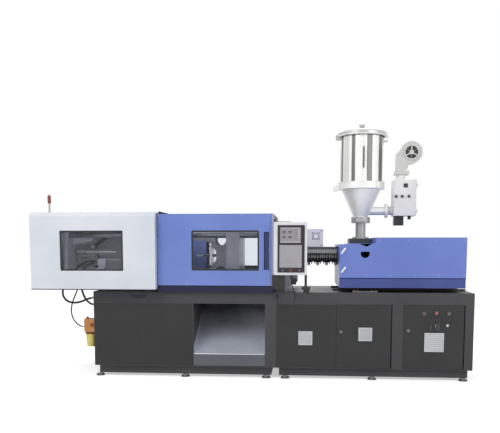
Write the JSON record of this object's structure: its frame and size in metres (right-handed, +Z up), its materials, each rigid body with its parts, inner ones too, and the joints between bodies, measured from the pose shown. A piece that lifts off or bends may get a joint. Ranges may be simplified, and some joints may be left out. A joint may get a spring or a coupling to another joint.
{
  "type": "injection moulding machine",
  "caption": "Horizontal toggle injection moulding machine with sliding gates, control panel, barrel unit and a hopper dryer on top.",
  "frame": {"origin": "on the floor, under the machine axis, half way along the base", "axes": "+X along the machine from the clamp end to the injection end, +Y to the rear, +Z up"},
  "size_m": [4.562, 1.38, 2.6833],
  "materials": {
    "base_dark": "satin paint",
    "base_panel": "satin paint",
    "foot_steel": "satin paint",
    "chute_steel": "brushed",
    "motor_grey": "satin paint",
    "switchgear": "satin paint",
    "frame_dark": "satin paint",
    "platen_grey": "painted cast iron",
    "link_dark": "dark cast iron",
    "tie_bar_chrome": "hard chrome",
    "cylinder_grey": "satin paint",
    "crosshead_steel": "machined",
    "cover_white": "satin paint",
    "window_clear": "clear polycarbonate",
    "alarm_red": "red lens",
    "panel_white": "satin paint",
    "fascia_black": "matt film",
    "keypad_grey": "matt film",
    "stop_red": "gloss",
    "lubricator_orange": "gloss paint",
    "tank_yellow": "translucent",
    "hose_black": "rubber",
    "cable_black": "rubber",
    "gate_blue": "satin paint",
    "filter_white": "moulded",
    "switch_white": "moulded",
    "lamp_set": "lenses and bezels",
    "carriage_grey": "satin paint",
    "barrel_steel": "turned",
    "band_black": "heat resistant",
    "screw_steel": "ground",
    "guard_sheet": "satin paint",
    "hopper_steel": "polished stainless",
    "dryer_white": "satin paint",
    "blower_white": "satin paint"
  },
  "bodies": {
    "root": {"base_frame": "base_dark", "base_panels": "base_panel", "levelling_feet": "foot_steel", "product_chute": "chute_steel", "pump_motor": "motor_grey", "switchgear": "switchgear", "gate_frame": "frame_dark", "tail_platen": "platen_grey", "fixed_platen": "platen_grey", "tie_bars": "tie_bar_chrome", "clamp_cylinder": "cylinder_grey", "clamp_cover": "cover_white", "clamp_cover_window": "window_clear", "alarm_light": "alarm_red", "panel_housing": "panel_white", "panel_fascia": "fascia_black", "panel_keypad": "keypad_grey", "lubricator": "lubricator_orange", "lubricator_tank": "tank_yellow", "hose_long": "hose_black", "hose_short": "hose_black", "hose_lubricator": "hose_black", "panel_cable": "cable_black", "guard_bars": "frame_dark", "filter_left": "filter_white"},
    "rear_links_upper": {"rear_links_upper": "link_dark"},
    "rear_links_lower": {"rear_links_lower": "link_dark"},
    "front_links_upper": {"front_links_upper": "link_dark"},
    "front_links_lower": {"front_links_lower": "link_dark"},
    "moving_platen": {"moving_platen": "platen_grey", "ejector_cylinder": "cylinder_grey"},
    "ejector": {"ejector_plate": "crosshead_steel"},
    "crosshead": {"crosshead": "crosshead_steel"},
    "crosshead_link_upper": {"crosshead_link_upper": "link_dark"},
    "crosshead_link_lower": {"crosshead_link_lower": "link_dark"},
    "front_gate": {"front_gate": "gate_blue", "front_gate_window": "window_clear"},
    "rear_gate": {"rear_gate": "gate_blue", "rear_gate_window": "window_clear"},
    "door_middle": {"cabinet_door_middle": "base_panel", "filter_middle": "filter_white"},
    "door_right": {"cabinet_door_right": "base_panel", "filter_right": "filter_white", "indicator_lamps": "lamp_set"},
    "main_switch": {"main_switch": "switch_white"},
    "emergency_stop": {"emergency_stop": "stop_red"},
    "carriage": {"carriage": "carriage_grey", "barrel": "barrel_steel", "heater_bands": "band_black", "injection_cover": "gate_blue", "hopper_body": "hopper_steel", "dryer_box": "dryer_white", "blower_housing": "blower_white"},
    "injection_drive": {"injection_drive": "cylinder_grey"},
    "screw": {"screw": "screw_steel"},
    "hopper_gate": {"hopper_gate": "crosshead_steel"},
    "hopper_lid": {"hopper_lid": "hopper_steel"},
    "dryer_door": {"dryer_door": "dryer_white"},
    "blower_impeller": {"blower_impeller": "crosshead_steel"},
    "purge_guard": {"purge_guard": "guard_sheet"}
  },
  "joints": [
    {"name": "toggle", "type": "hinge", "parent": "root", "child": "rear_links_upper", "pos_m": [-2.06, 0, 1.595], "axis": [0, 1, 0], "range_deg": [-13, 27]},
    {"name": "toggle_rear_lower", "type": "hinge", "parent": "root", "child": "rear_links_lower", "pos_m": [-2.06, 0, 0.955], "axis": [0, 1, 0], "range_deg": [-27.1, 13.1]},
    {"name": "toggle_front_upper", "type": "hinge", "parent": "rear_links_upper", "child": "front_links_upper", "pos_m": [-1.69472, 0, 1.49026], "axis": [0, 1, 0], "range_deg": [-54.1, 26.1]},
    {"name": "toggle_front_lower", "type": "hinge", "parent": "rear_links_lower", "child": "front_links_lower", "pos_m": [-1.69472, 0, 1.05974], "axis": [0, 1, 0], "range_deg": [-26.1, 54.1]},
    {"name": "platen_pivot", "type": "hinge", "parent": "front_links_upper", "child": "moving_platen", "pos_m": [-1.32944, 0, 1.595], "axis": [0, 1, 0], "range_deg": [-13.1, 27.1]},
    {"name": "crosshead_slide", "type": "slide", "parent": "root", "child": "crosshead", "axis": [1, 0, 0], "range_m": [-0.0771, 0.0372]},
    {"name": "crosshead_pivot_upper", "type": "hinge", "parent": "crosshead", "child": "crosshead_link_upper", "pos_m": [-2.1388, 0, 1.375], "axis": [0, 1, 0], "range_deg": [-6.9, 14.2]},
    {"name": "crosshead_pivot_lower", "type": "hinge", "parent": "crosshead", "child": "crosshead_link_lower", "pos_m": [-2.1388, 0, 1.175], "axis": [0, 1, 0], "range_deg": [-14.2, 6.9]},
    {"name": "ejector_slide", "type": "slide", "parent": "moving_platen", "child": "ejector", "axis": [1, 0, 0], "range_m": [0, 0.08]},
    {"name": "front_gate_slide", "type": "slide", "parent": "root", "child": "front_gate", "axis": [-1, 0, 0], "range_m": [0, 0.8]},
    {"name": "rear_gate_slide", "type": "slide", "parent": "root", "child": "rear_gate", "axis": [-1, 0, 0], "range_m": [0, 0.8]},
    {"name": "carriage_slide", "type": "slide", "parent": "root", "child": "carriage", "axis": [1, 0, 0], "range_m": [0, 0.2]},
    {"name": "injection_slide", "type": "slide", "parent": "carriage", "child": "injection_drive", "axis": [1, 0, 0], "range_m": [0, 0.18]},
    {"name": "screw_turn", "type": "hinge", "parent": "injection_drive", "child": "screw", "pos_m": [1.1, 0, 1.275], "axis": [1, 0, 0], "continuous": true},
    {"name": "hopper_gate_slide", "type": "slide", "parent": "carriage", "child": "hopper_gate", "axis": [0, -1, 0], "range_m": [0, 0.11]},
    {"name": "hopper_lid_hinge", "type": "hinge", "parent": "carriage", "child": "hopper_lid", "pos_m": [0.591, 0, 2.5643], "axis": [0, -1, 0], "range_deg": [0, 100]},
    {"name": "dryer_door_hinge", "type": "hinge", "parent": "carriage", "child": "dryer_door", "pos_m": [1.446, -0.125, 1.9], "axis": [0, 0, 1], "range_deg": [0, 110]},
    {"name": "blower_turn", "type": "hinge", "parent": "carriage", "child": "blower_impeller", "pos_m": [1.389, 0, 2.382], "axis": [0, 1, 0], "continuous": true},
    {"name": "purge_guard_hinge", "type": "hinge", "parent": "root", "child": "purge_guard", "pos_m": [0.29, 0.158, 1.382], "axis": [-1, 0, 0], "range_deg": [0, 90]},
    {"name": "door_middle_hinge", "type": "hinge", "parent": "root", "child": "door_middle", "pos_m": [1.134, -0.5475, 0.45], "axis": [0, 0, 1], "range_deg": [0, 110]},
    {"name": "door_right_hinge", "type": "hinge", "parent": "root", "child": "door_right", "pos_m": [1.864, -0.5475, 0.45], "axis": [0, 0, 1], "range_deg": [0, 110]},
    {"name": "main_switch_turn", "type": "hinge", "parent": "door_right", "child": "main_switch", "pos_m": [1.58, -0.57, 0.558], "axis": [0, 1, 0], "range_deg": [0, 90]},
    {"name": "emergency_stop_push", "type": "slide", "parent": "root", "child": "emergency_stop", "axis": [0, 1, 0], "range_m": [0, 0.005], "stiffness_N_per_m": 1500, "springref_m": -0.001}
  ],
  "couplings": [
    {"joint": "toggle_rear_lower", "follows": "toggle", "ratio": -1},
    {"joint": "toggle_front_upper", "follows": "toggle", "ratio": -2},
    {"joint": "toggle_front_lower", "follows": "toggle", "ratio": 2},
    {"joint": "platen_pivot", "follows": "toggle", "ratio": 1},
    {"joint": "crosshead_slide", "follows": "toggle", "m_per_rad": -0.1633},
    {"joint": "crosshead_pivot_upper", "follows": "toggle", "ratio": 0.5221},
    {"joint": "crosshead_pivot_lower", "follows": "toggle", "ratio": -0.5221}
  ]
}
